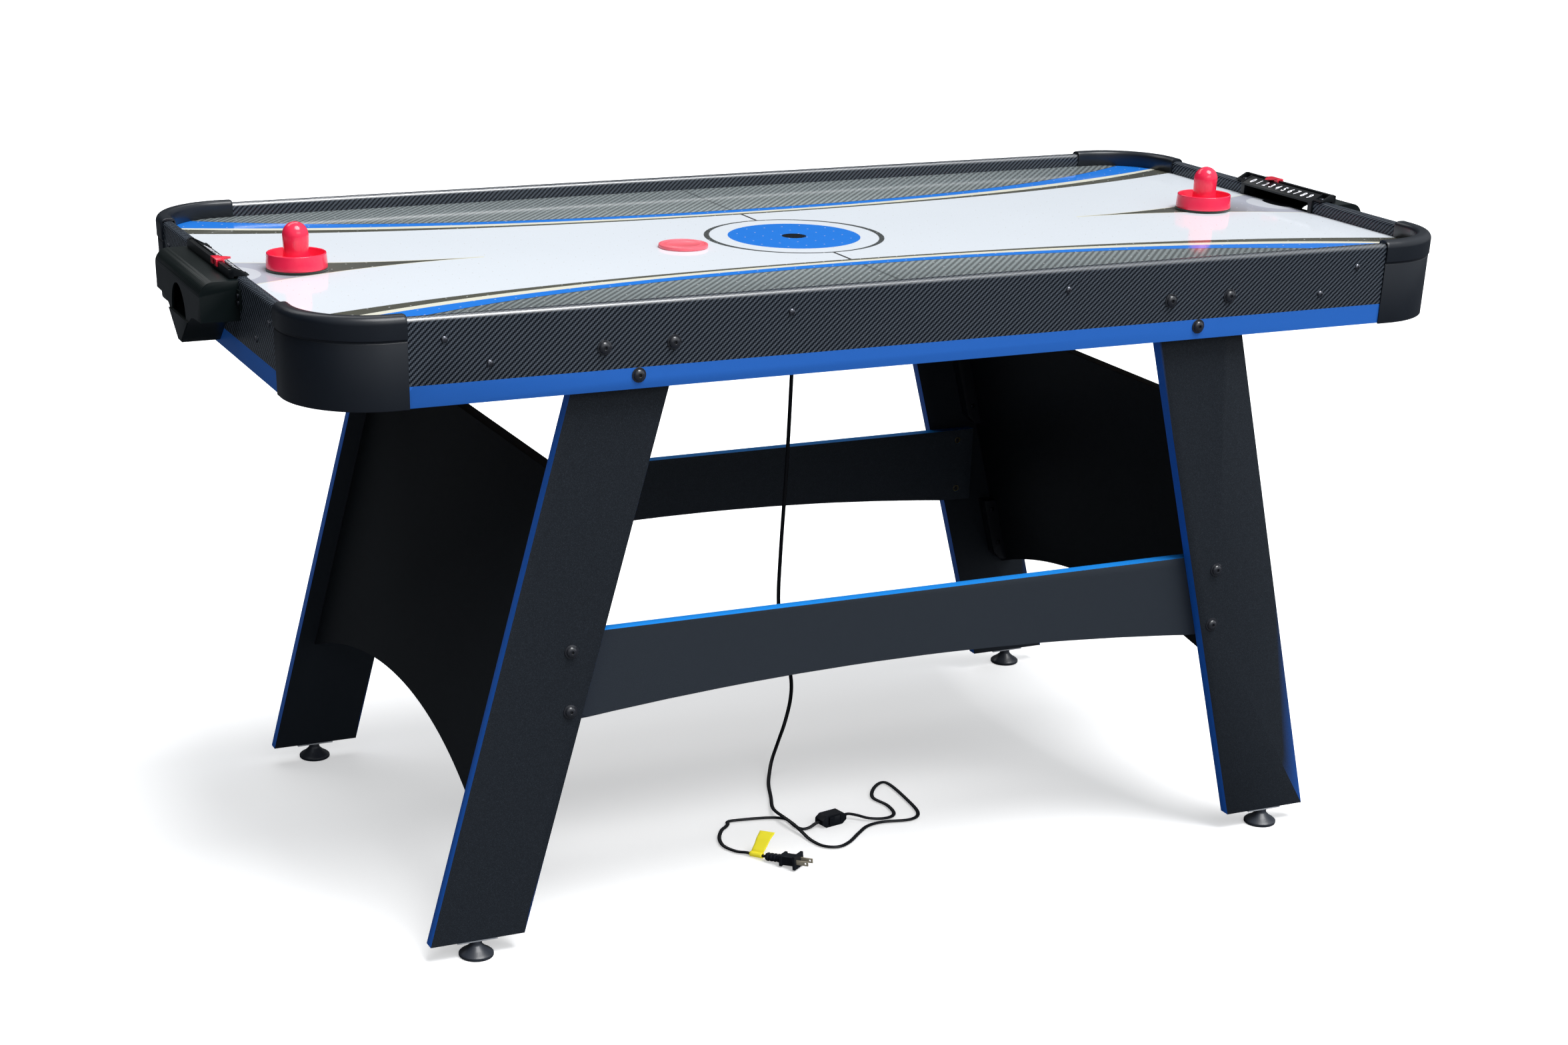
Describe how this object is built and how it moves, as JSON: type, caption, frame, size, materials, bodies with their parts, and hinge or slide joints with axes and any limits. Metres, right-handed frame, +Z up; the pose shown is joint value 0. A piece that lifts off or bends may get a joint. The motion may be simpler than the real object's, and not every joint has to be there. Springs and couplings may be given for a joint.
{
  "type": "air hockey table",
  "caption": "Table-height air hockey game with railed playfield, corner caps, goal pockets, sliding scorers, leaning board legs, under-table blower, pushers, puck and power cord.",
  "frame": {"origin": "on the floor under the middle of the playfield", "axes": "+X along the length from goal to goal, +Y across the table, +Z up; the power cord lies towards -Y"},
  "size_m": [1.6208, 0.7718, 0.8264],
  "materials": {
    "laminate_carbon": "satin",
    "laminate_black": "satin",
    "cap_plastic": "satin",
    "playfield": "gloss",
    "wood": "raw",
    "wood_dark": "raw",
    "black_plastic": "satin",
    "motor_metal": "satin",
    "steel": "satin",
    "dark_steel": "satin",
    "brass_nut": "satin",
    "red_plastic": "gloss",
    "puck_plastic": "gloss",
    "felt": "matte",
    "cord_pvc": "satin",
    "tag_paper": "matte"
  },
  "bodies": {
    "table": {"side_rail_front": "laminate_carbon", "side_rail_back": "laminate_carbon", "end_rail_left": "laminate_carbon", "end_rail_right": "laminate_carbon", "corner_cap_fl": "cap_plastic", "corner_cap_fr": "cap_plastic", "corner_cap_bl": "cap_plastic", "corner_cap_br": "cap_plastic", "playfield": "playfield", "plenum_frame": "wood", "plenum_ribs": "wood", "packing_strips": "wood", "bottom_panel": "wood_dark", "blower_housing": "black_plastic", "blower_grille": "black_plastic", "motor_can": "motor_metal", "blower_screws": "steel", "leg_fl": "laminate_black", "leg_fr": "laminate_black", "leg_bl": "laminate_black", "leg_br": "laminate_black", "end_panel_left": "laminate_black", "end_panel_right": "laminate_black", "stretcher_front": "laminate_black", "stretcher_back": "laminate_black", "panel_cleats": "laminate_black", "foot_plates": "steel", "apron_bolts": "dark_steel", "bolt_washers": "dark_steel", "insert_nuts": "brass_nut", "stretcher_bolts": "dark_steel", "rail_screws": "dark_steel", "cap_screws": "dark_steel", "goal_screws": "dark_steel", "panel_screws": "dark_steel", "goal_box_left": "black_plastic", "goal_box_right": "black_plastic", "scorer_left": "black_plastic", "scorer_right": "black_plastic", "power_cord": "cord_pvc", "cord_bushing": "black_plastic", "switch_housing": "black_plastic", "plug_body": "black_plastic", "plug_blades": "steel", "cord_tag": "tag_paper"},
    "foot_front_left": {"foot_fl": "black_plastic"},
    "foot_front_right": {"foot_fr": "black_plastic"},
    "foot_back_left": {"foot_bl": "black_plastic"},
    "foot_back_right": {"foot_br": "black_plastic"},
    "blower_rotor": {"impeller": "black_plastic", "impeller_shaft": "steel"},
    "score_pointer_left": {"score_slider_left": "red_plastic"},
    "score_pointer_right": {"score_slider_right": "red_plastic"},
    "cord_switch_rocker": {"switch_rocker": "black_plastic"},
    "pusher_left": {"pusher_left": "red_plastic", "pusher_left_felt": "felt"},
    "pusher_right": {"pusher_right": "red_plastic", "pusher_right_felt": "felt"},
    "puck": {"puck": "puck_plastic"}
  },
  "joints": [
    {"name": "foot_front_left_turn", "type": "hinge", "parent": "table", "child": "foot_front_left", "pos_m": [-0.577, -0.358, 0.03], "axis": [0, 0, 1], "continuous": true},
    {"name": "foot_front_right_turn", "type": "hinge", "parent": "table", "child": "foot_front_right", "pos_m": [0.577, -0.358, 0.03], "axis": [0, 0, 1], "continuous": true},
    {"name": "foot_back_left_turn", "type": "hinge", "parent": "table", "child": "foot_back_left", "pos_m": [-0.577, 0.358, 0.03], "axis": [0, 0, 1], "continuous": true},
    {"name": "foot_back_right_turn", "type": "hinge", "parent": "table", "child": "foot_back_right", "pos_m": [0.577, 0.358, 0.03], "axis": [0, 0, 1], "continuous": true},
    {"name": "blower_spin", "type": "hinge", "parent": "table", "child": "blower_rotor", "pos_m": [0, 0, 0.69], "axis": [0, 0, 1], "continuous": true},
    {"name": "score_right_slide", "type": "slide", "parent": "table", "child": "score_pointer_right", "axis": [0, 1, 0], "range_m": [-0.105, 0.03]},
    {"name": "score_left_slide", "type": "slide", "parent": "table", "child": "score_pointer_left", "axis": [0, 1, 0], "range_m": [-0.03, 0.105]},
    {"name": "switch_rock", "type": "hinge", "parent": "table", "child": "cord_switch_rocker", "pos_m": [0.01629, -0.15207, 0.009], "axis": [0, 0, 1], "range_deg": [-10, 0]},
    {"name": "pusher_left_slide", "type": "slide", "parent": "table", "child": "pusher_left", "axis": [1, 0, 0], "range_m": [-0.038, 0.42]},
    {"name": "pusher_right_slide", "type": "slide", "parent": "table", "child": "pusher_right", "axis": [1, 0, 0], "range_m": [-0.58, 0.079]},
    {"name": "puck_slide", "type": "slide", "parent": "table", "child": "puck", "axis": [0, 1, 0], "range_m": [-0.308, 0.354]}
  ]
}
